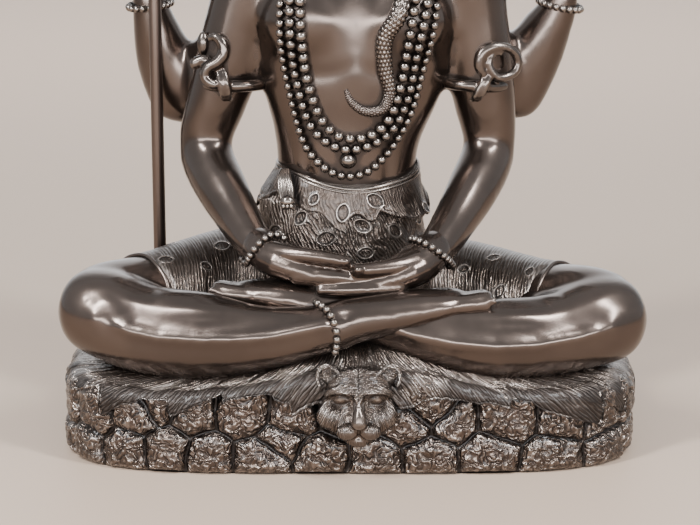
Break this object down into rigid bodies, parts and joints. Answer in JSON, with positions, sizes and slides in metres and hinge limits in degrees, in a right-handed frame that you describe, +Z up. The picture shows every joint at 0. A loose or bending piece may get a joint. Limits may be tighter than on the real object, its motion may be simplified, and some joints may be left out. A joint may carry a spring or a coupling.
{
  "type": "seated shiva figurine",
  "caption": "Seated figurine with raised rear arms, in lotus pose on an oval base of stones under a draped animal skin, with a loose trident standing in a rear hand.",
  "frame": {"origin": "centre of the flat underside of the base", "axes": "+Z up, the figure faces -Y, +X to the right of someone who looks at its front"},
  "size_m": [0.1353, 0.0937, 0.195],
  "materials": {
    "bronze_finish": "cold-cast resin with a satin brown bronze finish and a dark wash in the recesses",
    "dark_bronze_finish": "cold-cast resin with a dark brown bronze finish"
  },
  "bodies": {
    "root": {"shiva_figure": "bronze_finish", "trident": "dark_bronze_finish"}
  },
  "joints": []
}
